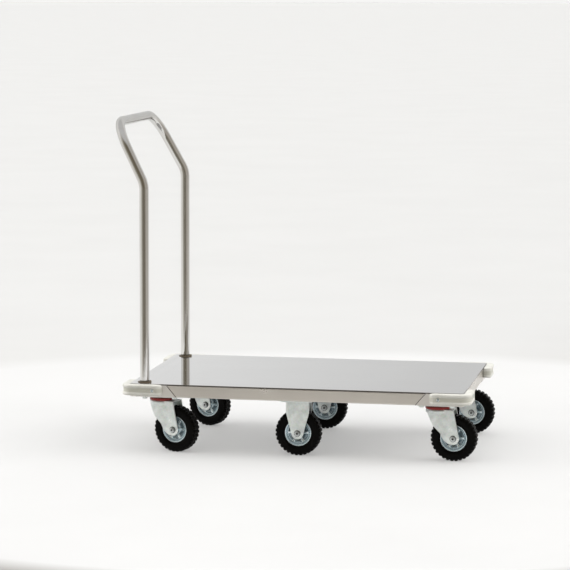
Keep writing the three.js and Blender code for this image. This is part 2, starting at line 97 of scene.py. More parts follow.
def finished_mesh(bm, name, sharp=SHARP_ANGLE, flat_from=math.inf):
    """Closes a bmesh into a smooth mesh with sharp edges, its faces wider than flat_from kept flat."""
    bmesh.ops.remove_doubles(bm, verts=bm.verts, dist=SAME_POINT)
    bmesh.ops.recalc_face_normals(bm, faces=bm.faces)
    mesh = bpy.data.meshes.new(name)
    bm.to_mesh(mesh)
    bm.free()
    mesh.set_sharp_from_angle(angle=sharp)
    for polygon in mesh.polygons:
        polygon.use_smooth = polygon.area < flat_from * longest_edge(mesh, polygon)
    return mesh


def longest_edge(mesh, polygon):
    corners = [mesh.vertices[index].co for index in polygon.vertices]
    return max((corner - before).length for corner, before in zip(corners, corners[-1:] + corners))


def piece(name, mesh, body, finish, place=Matrix(), replaces=()):
    """A visible piece that rides on a body and may stand for CAD nodes."""
    obj = bpy.data.objects.new(name, mesh)
    bpy.context.scene.collection.objects.link(obj)
    obj.matrix_world = place
    if not mesh.materials:
        mesh.materials.append(finish.material)
    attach(obj, body)
    if replaces:
        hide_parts(*replaces)


def skin(node, mesh, body, finish, place=Matrix()):
    """A visible piece that stands for one CAD node."""
    piece(f"{node}_skin", mesh, body, finish, place, (node,))


def dressed(node, finish, width=EDGE):
    """A copy of a CAD node of the chassis with its edges rounded and its flats kept flat."""
    bm = bmesh.new()
    bm.from_mesh(frame["nodes"][node].data)
    bmesh.ops.remove_doubles(bm, verts=bm.verts, dist=SAME_POINT)
    bmesh.ops.dissolve_limit(bm, angle_limit=LEVEL_ANGLE, verts=bm.verts, edges=bm.edges)
    sharp = [edge for edge in bm.edges
             if len(edge.link_faces) == 2 and edge.calc_face_angle() > ROUNDED_FROM]
    bmesh.ops.bevel(bm, geom=sharp, offset=width, segments=2, affect="EDGES", profile=0.5,
                    clamp_overlap=True)
    skin(node, finished_mesh(bm, node, flat_from=FLAT_FROM), "chassis", finish)


def fillet(points, radius, steps=4, closed=True):
    """A polyline whose corners are rounded by short curves of about one radius."""
    count = len(points)
    result = []
    for i, corner in enumerate(points):
        corner = Vector(corner)
        if not closed and i in (0, count - 1):
            result.append(corner)
            continue
        before, after = Vector(points[i - 1]), Vector(points[(i + 1) % count])
        to_before, to_after = before - corner, after - corner
        reach = min(radius, to_before.length * 0.49, to_after.length * 0.49)
        start = corner + to_before.normalized() * reach
        end = corner + to_after.normalized() * reach
        for step in range(steps + 1):
            t = step / steps
            result.append(start.lerp(corner, t).lerp(corner.lerp(end, t), t))
    return result


def bridge_rings(bm, rings, closed=True):
    """Faces between each ring of points and the next, all round each ring where it is closed."""
    count = len(rings[0])
    for ring, following in zip(rings, rings[1:]):
        for j in range(count if closed else count - 1):
            k = (j + 1) % count
            bm.faces.new((ring[j], ring[k], following[k], following[j]))


def closed_run(bm, rings):
    """A solid through rings of points, with a face at each end."""
    bridge_rings(bm, rings)
    bm.faces.new(rings[0])
    bm.faces.new(rings[-1])


def revolve(bm, profile, segments, axis="Z", centre=(0, 0, 0), closed=True, shift=None):
    """Turns a profile of radius and height about an axis through the centre."""
    middle = Vector(centre)
    rings = []
    for i in range(segments):
        angle = 2 * math.pi * i / segments
        ring = []
        for j, point in enumerate(profile):
            radius, along = shift(i, j, point) if shift else point
            across, up = radius * math.cos(angle), radius * math.sin(angle)
            spot = Vector((across, up, along)) if axis == "Z" else Vector((across, along, up))
            ring.append(bm.verts.new(middle + spot))
        rings.append(ring)
    bridge_rings(bm, rings + rings[:1], closed)


def hexagon(bm, radius, bottom, top, turn, socket=0.0):
    """A six-sided head or nut about Y with chamfered rims, and a socket in its lower face if given."""
    chamfer = radius * 0.09
    rim = chamfer * 0.6
    start = [(0, bottom)]
    if socket:
        inner = socket * 0.8
        start = [(0, bottom + inner), (inner, bottom + inner), (socket, bottom)]
    profile = start + [(radius - chamfer, bottom), (radius, bottom + rim), (radius, top - rim),
                       (radius - chamfer, top), (0, top)]
    before = len(bm.verts)
    revolve(bm, profile, 6, "Y", closed=False)
    bm.verts.ensure_lookup_table()
    spin = Matrix.Rotation(turn, 4, "Y")
    for vert in bm.verts[before:]:
        vert.co = spin @ vert.co


def threaded(bm, radius, bottom, top, pitch):
    """The end of a bolt about Y with thread-like rings and a chamfered tip."""
    turns = max(1, int((top - bottom) / pitch))
    profile = [(0, bottom)]
    for turn in range(turns):
        low = bottom + turn * pitch
        profile += [(radius, low + pitch * 0.15), (radius * 0.9, low + pitch * 0.65)]
    profile += [(radius * 0.8, top), (0, top)]
    revolve(bm, profile, 24, "Y", closed=False)


def smooth_step(share):
    share = min(1.0, max(0.0, share))
    return share * share * (3 - 2 * share)


# Materials

class Wiring:
    """A node tree with a few short ways to wire its nodes."""

    def __init__(self, tree):
        self.nodes, self.links = tree.nodes, tree.links
        self.coordinates = self.nodes.new("ShaderNodeTexCoord")

    def node(self, kind, **values):
        node = self.nodes.new(kind)
        for name, value in values.items():
            if hasattr(node, name):
                setattr(node, name, value)
            else:
                self.feed(node.inputs[name], value)
        return node

    def feed(self, socket, value):
        """Links a socket to another one, or sets it where the value is a number or a colour."""
        if isinstance(value, bpy.types.NodeSocket):
            self.links.new(value, socket)
        else:
            socket.default_value = value

    def ranged(self, source, low, high, new_low=0.0, new_high=1.0):
        values = {"Value": source, "From Min": low, "From Max": high, "To Min": new_low,
                  "To Max": new_high}
        return self.node("ShaderNodeMapRange", **values).outputs["Result"]

    def mixed(self, factor, first, second, blend="MIX"):
        node = self.node("ShaderNodeMix", data_type="RGBA", blend_type=blend)
        for place, value in ((0, factor), (6, first), (7, second)):
            self.feed(node.inputs[place], value)
        return node.outputs[2]

    def calculated(self, operation, *values):
        node = self.node("ShaderNodeMath", operation=operation)
        for socket, value in zip(node.inputs, values):
            self.feed(socket, value)
        return node.outputs["Value"]

    def along(self, source, axis):
        return self.node("ShaderNodeSeparateXYZ", Vector=source).outputs[axis]

    def distance(self, source):
        """Distance of a place from the origin."""
        return self.node("ShaderNodeVectorMath", operation="LENGTH", Vector=source).outputs["Value"]


class Finish(Wiring):
    """A material, with measures and patterns that lie in the piece's own coordinates."""

    def __init__(self, name):
        self.material = bpy.data.materials.new(name)
        self.material.use_nodes = True
        super().__init__(self.material.node_tree)
        self.shader = self.nodes["Principled BSDF"]
        self.place = self.coordinates.outputs["Object"]

    def use(self, **sockets):
        """Sets or links the shader's sockets."""
        for name, value in sockets.items():
            self.feed(self.shader.inputs[name.replace("_", " ")], value)
        return self

    def noise(self, scale, detail, stretch=(1, 1, 1)):
        mapping = self.node("ShaderNodeMapping", Scale=stretch, Vector=self.place)
        return self.node("ShaderNodeTexNoise", Scale=scale, Detail=detail, Roughness=0.6,
                         Vector=mapping.outputs["Vector"]).outputs["Fac"]

    def cells(self, scale):
        return self.node("ShaderNodeTexVoronoi", Scale=scale, Vector=self.place).outputs["Color"]

    def bump(self, height, strength, distance):
        return self.node("ShaderNodeBump", Strength=strength, Distance=distance,
                         Height=height).outputs["Normal"]

    def pointiness(self):
        return self.nodes.new("ShaderNodeNewGeometry").outputs["Pointiness"]

    def edges(self, low=0.52, high=0.6):
        """Bright on worn convex edges."""
        return self.ranged(self.pointiness(), low, high)

    def hollows(self):
        """Bright in corners and hollows: the mask for painted shade there."""
        return self.ranged(self.pointiness(), 0.40, 0.49, 1.0, 0.0)

    def height(self):
        return self.along(self.place, "Z")

    def aside(self):
        """Distance from the piece's middle plane across Y."""
        return self.calculated("ABSOLUTE", self.along(self.place, "Y"))

    def from_slant(self, axis, middle):
        """Distance along an axis from the deck's middle, less what the slant takes at each height."""
        centred = self.calculated("SUBTRACT", self.along(self.place, axis), middle)
        distance = self.calculated("ABSOLUTE", centred)
        return self.calculated("MULTIPLY_ADD", self.height(), -RAIL_SLOPE, distance)

    def from_axle(self):
        """Distance from the piece's Y axis."""
        flat = self.node("ShaderNodeVectorMath", operation="MULTIPLY", Vector=self.place)
        flat.inputs[1].default_value = (1, 0, 1)
        return self.distance(flat.outputs["Vector"])

    def band(self, source, start, full, fading, end):
        """Rises from start to full and falls again from fading to end."""
        return self.calculated("MULTIPLY", self.ranged(source, start, full),
                               self.ranged(source, fading, end, 1.0, 0.0))


def colour(red, green, blue):
    return (red, green, blue, 1.0)


# The part of a noise's values over which clouds go from one tone to the other
CLOUDS = (0.3, 0.7)


def steel_finish(name, light, dark, rough, grain, grain_strength=0.05, smudge_scale=6.0, glance=1.0,
                 dirt_and_shade=None, seams=()):
    """Steel with a fine grain, faint smudges, brighter edges, a band of painted shade and painted shadow
    lines at the rails' seams.

    rough gives the roughness in the smudges' light and dark parts, and grain its stretch along each axis.
    The band of painted shade darkens a shadow line under an edge, at the given heights where it starts, is
    full, begins to fade and ends. seams gives the axis, the middle and the place of each painted shadow
    line, in the gap at the rails' slanted ends.
    """
    finish = Finish(name)
    smudges = finish.noise(smudge_scale, 5.0)
    tone = finish.mixed(finish.ranged(smudges, 0.35, 0.7), light, dark)
    lines = finish.noise(60.0, 3.0, grain)
    tone = finish.mixed(finish.ranged(lines, 0.35, 0.65, 0.0, 0.35), tone, dark)
    tone = finish.mixed(finish.edges(), tone, colour(0.9, 0.9, 0.9))
    # Painted shade: a dark band at the given heights, the shadow line under the deck sheet's edge, on the
    # rails' tops and at the posts' feet
    if dirt_and_shade:
        tone = finish.mixed(finish.band(finish.height(), *dirt_and_shade), tone, colour(0.035, 0.025, 0.018))
    # Painted shadow: a dark line at each rail's slanted end, for the shade in its gap against the corner
    # bracket
    for axis, middle, place in seams:
        seam_shadow = finish.band(finish.from_slant(axis, middle), place - SEAM_HALF, place - SEAM_HALF / 2,
                          place + SEAM_HALF / 2, place + SEAM_HALF)
        tone = finish.mixed(seam_shadow, tone, colour(0.10, 0.085, 0.07))
    return finish.use(Metallic=1.0, Specular_Tint=colour(glance, glance, glance), Base_Color=tone,
                      Roughness=finish.ranged(smudges, 0.3, 0.75, *rough),
                      Normal=finish.bump(lines, grain_strength, 0.0004))


# Painted shade on the deck's reflection: its glance fades along X, from one tone to the other within this
# distance of its middle
DECK_SHADED_GLANCE = (0.95, 0.76)
DECK_FADE = 0.38


def deck_finish():
    """Bright deck sheet, whose glance fades a little towards the leading end, a painted darkening of its
    reflection there, with a painted shadow line along its lower edge.
    """
    finish = steel_finish("deck_steel", colour(0.65, 0.65, 0.645), colour(0.60, 0.60, 0.60),
                          rough=(0.05, 0.09), grain=(0.02, 1, 1), grain_strength=0.02, smudge_scale=3.0,
                          dirt_and_shade=(0.1880, 0.1882, 0.1888, 0.1894))
    share = finish.ranged(finish.along(finish.place, "X"), DECK_CENTRE.x - DECK_FADE,
                          DECK_CENTRE.x + DECK_FADE)
    shaded_glances = [colour(tone, tone, tone) for tone in DECK_SHADED_GLANCE]
    return finish.use(Specular_Tint=finish.mixed(share, *shaded_glances))


def zinc_finish(name, light, dark, rough, deep=None):
    """Bright zinc plating: faint crystals, a cool cast, painted shade in the hollows and in what lies deep.

    deep gives the distances from the middle plane between which the painted shade in the rim's wells fades
    out.
    """
    finish = Finish(name)
    crystals = finish.cells(240.0)
    clouds = finish.noise(45.0, 5.0)
    tone = finish.mixed(finish.ranged(clouds, *CLOUDS), light, dark)
    tone = finish.mixed(0.06, tone, crystals, "OVERLAY")
    # Painted shade in the hollows
    tone = finish.mixed(finish.hollows(), tone, colour(0.10, 0.10, 0.09))
    # Painted shade, blue-grey, in the wells that lie deep
    if deep:
        tone = finish.mixed(finish.ranged(finish.aside(), *deep, 1.0, 0.0), tone, colour(0.16, 0.21, 0.24))
    tone = finish.mixed(finish.edges(0.53, 0.62), tone, colour(0.93, 0.95, 0.95))
    return finish.use(Metallic=0.85, Base_Color=tone, Roughness=finish.ranged(clouds, *CLOUDS, *rough),
                      Normal=finish.bump(clouds, 0.08, 0.0005))


# Distances from the axle at which the bolt head ends and the painted shadow ring on the washer begins, and
# between which the painted shade in the socket fades out
HEAD_SHADOW_RIM = (0.0072, 0.0074)
SOCKET_SHADE_RIM = (0.0024, 0.0032)


def axle_finish():
    """Bolt steel with painted shade: a dark shadow ring on the washer round the head, and darkness in the
    socket.
    """
    finish = Finish("axle_steel")
    clouds = finish.noise(60.0, 5.0)
    tone = finish.mixed(finish.ranged(clouds, *CLOUDS), colour(0.60, 0.63, 0.63), colour(0.42, 0.44, 0.44))
    # Painted shadow ring on the washer round the head
    tone = finish.mixed(finish.ranged(finish.from_axle(), *HEAD_SHADOW_RIM), tone, colour(0.05, 0.05, 0.045))
    # Painted shade in the socket
    tone = finish.mixed(finish.ranged(finish.from_axle(), *SOCKET_SHADE_RIM, 1.0, 0.0), tone,
                        colour(0.06, 0.055, 0.05))
    return finish.use(Metallic=0.85, Base_Color=tone, Roughness=finish.ranged(clouds, *CLOUDS, 0.28, 0.42),
                      Normal=finish.bump(clouds, 0.1, 0.0004))


def collar_finish():
    """Collar in a dull olive brown that is painted shade and dark reflection round the post's foot, with
    rubbed rims.
    """
    finish = Finish("collar_steel")
    clouds = finish.noise(120.0, 5.0)
    tone = finish.mixed(finish.ranged(clouds, *CLOUDS), colour(0.135, 0.105, 0.070),
                        colour(0.080, 0.060, 0.038))
    tone = finish.mixed(finish.edges(), tone, colour(0.30, 0.26, 0.20))
    return finish.use(Metallic=0.35, Base_Color=tone, Roughness=finish.ranged(clouds, *CLOUDS, 0.42, 0.6),
                      Normal=finish.bump(clouds, 0.15, 0.0004))


def rubber_finish():
    """Black rubber, a little glossy, dusty in clouds and brownish on its edges."""
    finish = Finish("tyre_rubber")
    grain = finish.noise(900.0, 4.0)
    dust = finish.noise(70.0, 6.0)
    tone = finish.mixed(finish.ranged(dust, 0.45, 0.75, 0.0, 0.7), colour(0.0012, 0.0011, 0.0010),
                        colour(0.0036, 0.0030, 0.0024))
    tone = finish.mixed(finish.calculated("MULTIPLY", finish.edges(), 0.5), tone,
                        colour(0.020, 0.016, 0.012))
    return finish.use(Metallic=0.0, Specular_IOR_Level=0.06, Base_Color=tone,
                      Roughness=finish.ranged(dust, *CLOUDS, 0.34, 0.48),
                      Normal=finish.bump(grain, 0.12, 0.0005))


def plastic_finish(name, light, dark, rough, dirt_and_shade, band):
    """Moulded plastic with faint clouds, dirty scuffs, and painted shade in its hollows and on a band of
    heights.
    """
    finish = Finish(name)
    clouds = finish.noise(28.0, 5.0)
    scuffs = finish.noise(240.0, 3.0, (1, 1, 0.2))
    tone = finish.mixed(finish.ranged(clouds, *CLOUDS), light, dark)
    tone = finish.mixed(finish.ranged(scuffs, 0.62, 0.8, 0.0, 0.35), tone, dirt_and_shade)
    # Painted shade in the hollows
    tone = finish.mixed(finish.calculated("MULTIPLY", finish.hollows(), 0.5), tone, dirt_and_shade)
    # Painted shade on a band of heights: the bumpers' groove, and the dust seal's top under the swivel plate
    shaded_band = finish.band(finish.height(), *band)
    tone = finish.mixed(finish.calculated("MULTIPLY", shaded_band, 0.6), tone, dirt_and_shade)
    return finish.use(Metallic=0.0, Base_Color=tone, Roughness=finish.ranged(clouds, *CLOUDS, *rough),
                      Normal=finish.bump(scuffs, 0.12, 0.0004))


DECK_STEEL = deck_finish()
# The frame's band of painted shade is the shadow line on the rails' tops under the deck sheet's edge
FRAME_STEEL = steel_finish("frame_steel", colour(0.555, 0.505, 0.435), colour(0.49, 0.445, 0.38),
                           rough=(0.25, 0.36), grain=(0.03, 0.03, 1),
                           dirt_and_shade=(0.1858, 0.1874, 0.1880, 0.1890), seams=RAIL_SEAMS)
HIDDEN_STEEL = steel_finish("hidden_steel", colour(0.60, 0.61, 0.61), colour(0.48, 0.49, 0.49),
                            rough=(0.38, 0.5), grain=(1, 0.04, 1))
# The handle's band of painted shade is the shade at the posts' feet, just above the deck
HANDLE_STEEL = steel_finish("handle_steel", colour(0.72, 0.71, 0.69), colour(0.66, 0.645, 0.62),
                            rough=(0.10, 0.16), grain=(0.3, 0.3, 1), grain_strength=0.03,
                            smudge_scale=9.0, glance=0.70, dirt_and_shade=(0.1880, 0.1890, 0.1930, 0.1965))
ZINC_PLATE = zinc_finish("zinc_plate", colour(0.78, 0.81, 0.79), colour(0.54, 0.58, 0.56),
                         rough=(0.26, 0.4))
ZINC_RIM = zinc_finish("zinc_rim", colour(0.80, 0.88, 0.91), colour(0.60, 0.70, 0.74),
                       rough=(0.12, 0.26), deep=(0.0045, 0.0085))
AXLE_STEEL = axle_finish()
SHADED_COLLAR = collar_finish()
FASTENER_STEEL = zinc_finish("fastener_steel", colour(0.62, 0.64, 0.65), colour(0.45, 0.46, 0.46),
                             rough=(0.3, 0.45))
SCREW_STEEL = zinc_finish("screw_steel", colour(0.36, 0.43, 0.45), colour(0.20, 0.25, 0.27),
                          rough=(0.25, 0.4))
# The bumpers' dark tone serves their scuffs and painted shade; their band is the painted shade in the groove
BUMPER_PLASTIC = plastic_finish("bumper_plastic", colour(0.46, 0.455, 0.42), colour(0.39, 0.385, 0.35),
                                rough=(0.38, 0.52), dirt_and_shade=colour(0.27, 0.265, 0.215),
                                band=(0.0080, 0.0092, 0.0192, 0.0204))
SEAL_BOTTOM, SEAL_TOP = (corner.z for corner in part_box("dust_seal_front_right"))
# The dust seal's band is painted shade at its top, under the swivel plate
SEAL_BAND = [SEAL_TOP + above for above in (-0.006, -0.004, 0.010, 0.011)]
SEAL_PLASTIC = plastic_finish("seal_plastic", colour(0.26, 0.022, 0.016), colour(0.17, 0.012, 0.010),
                              rough=(0.45, 0.6), dirt_and_shade=colour(0.020, 0.004, 0.003), band=SEAL_BAND)
TYRE_RUBBER = rubber_finish()


# Frame and deck

def dress_frame():
    dressed("deck_sheet", DECK_STEEL, SHEET_EDGE)
    for node in ("side_rail_right", "side_rail_left", "end_rail_front", "end_rail_rear"):
        dressed(node, FRAME_STEEL)
    for name in CASTERS:
        dressed(f"corner_bracket_{name}", FRAME_STEEL)
        dressed(f"swivel_plate_{name}", ZINC_PLATE)
    for node in ("deck_cross_member", "deck_rib_rear", "deck_rib_front"):
        dressed(node, HIDDEN_STEEL)
    for side in ("right", "left"):
        dressed(f"handle_anchor_{side}", FASTENER_STEEL)


# Corner bumpers

# A bumper's section: how far out from the wall line, and height over its lower edge
BUMPER_INSIDE = 0.0005
BUMPER_PROFILE = [(BUMPER_INSIDE, 0.0), (0.0190, 0.0), (0.0210, 0.0022), (0.0210, 0.0062),
                  (0.0182, 0.0085), (0.0182, 0.0200), (0.0208, 0.0222), (0.0208, 0.0265),
                  (0.0185, 0.0290), (BUMPER_INSIDE, 0.0290)]
BUMPER_ROUNDING = 0.0016
BUMPER_REACH = 0.090
BUMPER_CORNER = 0.007
# Each arm's end: its length, the share of the thickness that is left, and of the height that is lost
BUMPER_END = 0.015
BUMPER_END_SHARE = 0.02
BUMPER_TAPER = 0.3
# How far it stands out from the wall line, and the middle of its height
BUMPER_PROUD = 0.021
BUMPER_MIDDLE = 0.0142
# The groove between its lips: its heights, the lips' reach outwards, and the length of its run-out
BUMPER_GROOVE_FROM, BUMPER_GROOVE_TO = 0.0064, 0.0221
BUMPER_LIP = 0.0208
BUMPER_GROOVE_RISE = 0.004
# The screw on each arm: how far along it, and how deep in the groove
BUMPER_SCREW = 0.068
BUMPER_FLOOR = 0.0183


def bumper_stations():
    """Points along a bumper's wall line: place, outward way, and how far it is from an end."""
    straight = BUMPER_REACH - BUMPER_CORNER
    end_steps, arm_steps, corner_steps = 8, 6, 12
    runs = [BUMPER_REACH - BUMPER_END * (1 - math.cos(math.pi / 2 * k / end_steps))
            for k in range(end_steps + 1)]
    runs += [BUMPER_REACH - BUMPER_END - (straight - BUMPER_END) * k / arm_steps
             for k in range(1, arm_steps + 1)]
    stations = [(Vector((x, 0, 0)), Vector((0, -1, 0)), BUMPER_REACH - x) for x in runs]
    for k in range(1, corner_steps):
        angle = -math.pi / 2 - math.pi / 2 * k / corner_steps
        way = Vector((math.cos(angle), math.sin(angle), 0))
        stations.append((Vector((BUMPER_CORNER, BUMPER_CORNER, 0)) + way * BUMPER_CORNER, way, straight))
    for y in reversed(runs):
        stations.append((Vector((0, y, 0)), Vector((-1, 0, 0)), BUMPER_REACH - y))
    return stations


def bumper_mesh():
    profile = fillet(BUMPER_PROFILE, BUMPER_ROUNDING, steps=3)
    bm = bmesh.new()
    rings = []
    for spot, way, from_end in bumper_stations():
        left = min(from_end, BUMPER_END) / BUMPER_END
        share = math.sqrt(max(0.0, 1 - (1 - left) ** 2))
        grooved = smooth_step((from_end - BUMPER_END) / BUMPER_GROOVE_RISE)
        ring = []
        for out, up in profile:
            if BUMPER_GROOVE_FROM < up < BUMPER_GROOVE_TO:
                out = BUMPER_LIP + (out - BUMPER_LIP) * grooved
            depth = BUMPER_INSIDE + (out - BUMPER_INSIDE) * max(share, BUMPER_END_SHARE)
            level = BUMPER_MIDDLE + (up - BUMPER_MIDDLE) * (1 - BUMPER_TAPER * (1 - share))
            ring.append(bm.verts.new(spot + way * depth + Vector((0, 0, level))))
        rings.append(ring)
    closed_run(bm, rings)
    return finished_mesh(bm, "corner_bumper")


def screw_mesh():
    """A small domed screw with a cross on its head, which faces -Y."""
    bm = bmesh.new()
    dome = [(0, 0.0010), (0.0064, 0.0010), (0.0064, 0.0002), (0.0048, -0.0007), (0.0022, -0.0013),
            (0, -0.0014)]
    revolve(bm, dome, 24, "Y", closed=False)
    half_length, half_width, front, back = 0.0022, 0.0004, -0.0015, -0.0004
    for turn in (0.0, math.pi / 2):
        spin = Matrix.Rotation(turn + 0.4, 4, "Y")
        verts = [bm.verts.new(spin @ Vector((x * half_length, y, z * half_width)))
                 for y in (front, back) for x, z in SQUARE]
        for loop in ((0, 1, 2, 3), (7, 6, 5, 4), (0, 4, 5, 1), (1, 5, 6, 2), (2, 6, 7, 3), (3, 7, 4, 0)):
            bm.faces.new([verts[k] for k in loop])
    return finished_mesh(bm, "bumper_screw")


def bumper_screw_places():
    """Local frames of a bumper's two screws, one on each arm, each head facing outwards."""
    along_y = Matrix.Translation((-BUMPER_FLOOR, BUMPER_SCREW, BUMPER_MIDDLE))
    return (Matrix.Translation((BUMPER_SCREW, -BUMPER_FLOOR, BUMPER_MIDDLE)),
            along_y @ Matrix.Rotation(-math.pi / 2, 4, "Z"))


def dress_bumpers():
    mesh, screw = bumper_mesh(), screw_mesh()
    for quarter, name in enumerate(CASTERS):
        node = f"corner_bumper_{name}"
        low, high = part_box(node)
        turn = Matrix.Rotation(quarter * math.pi / 2, 4, "Z")
        sign = turn @ Vector((-1, -1, 0))
        corner = Vector((low.x if sign.x < 0 else high.x, low.y if sign.y < 0 else high.y, low.z))
        place = Matrix.Translation(corner - sign * BUMPER_PROUD) @ turn
        piece(f"bumper_{name}", mesh, "chassis", BUMPER_PLASTIC, place, (node,))
        for count, local in enumerate(bumper_screw_places()):
            piece(f"bumper_screw_{name}_{count}", screw, "chassis", SCREW_STEEL,
                  place @ local)


# Push handle

TUBE_RADIUS = 0.0125
# The posts bend backwards at this height, and their upper ends are this much nearer the middle plane
HANDLE_BEND_HEIGHT = 0.724
HANDLE_CONVERGENCE = 0.026
ELBOW_RADIUS = 0.070
CORNER_RADIUS = 0.088
COLLAR_SCREW_X = 0.01565


def handle_line():
    """Corner points of the handle's centre line, from the CAD node's own box."""
    low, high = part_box("handle_tube")
    post_x, bar_x = high.x - TUBE_RADIUS, low.x + TUBE_RADIUS
    post_y, top = high.y - TUBE_RADIUS, high.z - TUBE_RADIUS
    bar_y = post_y - HANDLE_CONVERGENCE
    points = [(post_x, -post_y, low.z), (post_x, -post_y, HANDLE_BEND_HEIGHT), (bar_x, -bar_y, top),
              (bar_x, bar_y, top), (post_x, post_y, HANDLE_BEND_HEIGHT), (post_x, post_y, low.z)]
    return [Vector(point) for point in points]


def bent_line(points, radii, steps=16):
    """Places and ways along straight runs whose corners are rounded by arcs."""
    stations = [(points[0], (points[1] - points[0]).normalized())]
    for corner, before, after, radius in zip(points[1:], points, points[2:], radii):
        arriving, leaving = (corner - before).normalized(), (after - corner).normalized()
        turn, axis = arriving.angle(leaving), arriving.cross(leaving).normalized()
        start = corner - arriving * radius * math.tan(turn / 2)
        centre = start + axis.cross(arriving) * radius
        for step in range(steps + 1):
            spin = Matrix.Rotation(turn * step / steps, 3, axis)
            stations.append((centre + spin @ (start - centre), spin @ arriving))
    stations.append((points[-1], (points[-1] - points[-2]).normalized()))
    return stations


def tube(bm, stations, radius, sides=48):
    """A round tube whose rings turn along with its line."""
    angles = [2 * math.pi * k / sides for k in range(sides)]
    side_way = Vector((0, 1, 0))
    rings = []
    for centre, way in stations:
        side_way = (side_way - way * side_way.dot(way)).normalized()
        other = way.cross(side_way)
        rings.append([bm.verts.new(centre + (side_way * math.cos(a) + other * math.sin(a)) * radius)
                      for a in angles])
    closed_run(bm, rings)


def dress_handle():
    bm = bmesh.new()
    radii = (ELBOW_RADIUS, CORNER_RADIUS, CORNER_RADIUS, ELBOW_RADIUS)
    tube(bm, bent_line(handle_line(), radii), TUBE_RADIUS)
    skin("handle_tube", finished_mesh(bm, "handle_tube"), "chassis", HANDLE_STEEL)
    for side in ("right", "left"):
        dress_collar(f"handle_collar_{side}")


def dress_collar(node):
    """A ring round a post's foot, with a small screw on its front."""
    profile = fillet([(0.0128, 0), (0.0185, 0), (0.0185, 0.0018), (0.0150, 0.0030), (0.0128, 0.0030)],
                     radius=0.0005, steps=2)
    screw = [(0, 0.0015), (0.0024, 0.0015), (0.0024, 0.0045), (0.0016, 0.0052), (0, 0.0052)]
    low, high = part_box(node)
    foot = Vector(((low.x + high.x) / 2, (low.y + high.y) / 2, low.z))
    bm = bmesh.new()
    revolve(bm, profile, 48, centre=foot)
    revolve(bm, screw, 20, centre=foot + Vector((COLLAR_SCREW_X, 0, 0)), closed=False)
    skin(node, finished_mesh(bm, node), "chassis", SHADED_COLLAR)


# Casters

def caster_place(name):
    """Local frame of a caster: its origin on the floor under the swivel axis, +X to the wheel."""
    wheel = JOINTS[f"wheel_{name}"]
    holder = JOINTS.get(f"swivel_{name}", wheel)
    angle = math.atan2(wheel["axis"][0], wheel["axis"][1])
    return Matrix.Translation((*holder["pos_m"][:2], 0)) @ Matrix.Rotation(-angle, 4, "Z")


AXLE_HEIGHT = JOINTS["wheel_middle_right"]["pos_m"][2]
TRAIL = (Vector(JOINTS["wheel_front_right"]["pos_m"][:2])
         - Vector(JOINTS["swivel_front_right"]["pos_m"][:2])).length

# A fork's sheet legs: their faces, the rounding of their rims, and the loop that keeps the rounding even
LEG_OUTER = 0.026
LEG_INNER = 0.023
LEG_RIM = 0.0011
RIM_SUPPORT = 0.0005
EYE_RADIUS = 0.016

# Swivel fork, seen from the side, and the bridge under its crown
CROWN_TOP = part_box("fork_front_right")[1].z
CROWN_FRONT = 0.0315
CROWN_REAR = 0.045
FRONT_BEND = 0.0095
KNEE_FRONT, KNEE_HEIGHT = 0.0105, 0.0955
SHIN_REAR, SHIN_HEIGHT = 0.009, 0.076
HEEL_REAR = 0.020
BRIDGE_BOTTOM, BRIDGE_TOP = CROWN_TOP - 0.0028, CROWN_TOP - 0.0002

# Fixed fork, its flanks' bend and slant inwards, its ribs, and its plate under the frame
FIXED_HALF_WIDTH, FIXED_SHOULDER = 0.0315, 0.118
FLANGE_FROM = 0.0240
FLANGE_SLOPE = 0.32
FLANGE_BEND, FLANGE_LEAST = 0.001, 0.0001
FIXED_RIB_X, FIXED_RIB_BOTTOM, FIXED_RIB_TOP = 0.016, 0.095, 0.147
RIB_HALF_WIDTH, RIB_HEIGHT, RIB_SUNK = 0.0035, 0.0016, 0.0004
FIXED_PLATE_X, FIXED_PLATE_Y, FIXED_PLATE_CORNER = 0.044, 0.052, 0.009
FIXED_PLATE_TOP = SEAL_TOP + 0.0043
FIXED_PLATE_BOTTOM = FIXED_PLATE_TOP - 0.004

# Radii of the axle bolts' hexagons, washers, shanks and sockets
AXLE_HEX, AXLE_WASHER, AXLE_RADIUS = 0.0074, 0.0086, 0.005
SWIVEL_SOCKET, FIXED_SOCKET = 0.0026, 0.0037
WASHER_THICKNESS = 0.0009

# The tyre's lugs, and how deep and how far in from its sides the notches between them go
TYRE_LUGS = 32
TYRE_LUG_SEGMENTS = 6
TYRE_LUG_DEPTH, TYRE_LUG_INSET = 0.0024, 0.0012
TYRE_NOTCH_FROM, TYRE_NOTCH_RISE = 0.0565, 0.003
TYRE_SIDE_FROM = 0.009

# The rim's disc, whose hollows leave ribs between them
DISC_INNER, DISC_OUTER = 0.0140, 0.0278
RIM_HOLLOWS = 6
RIM_RIB_HALF = 0.0022
RIM_HOLLOW_SLOPE = 0.0030
RIM_HOLLOW_DEPTH = 0.0042


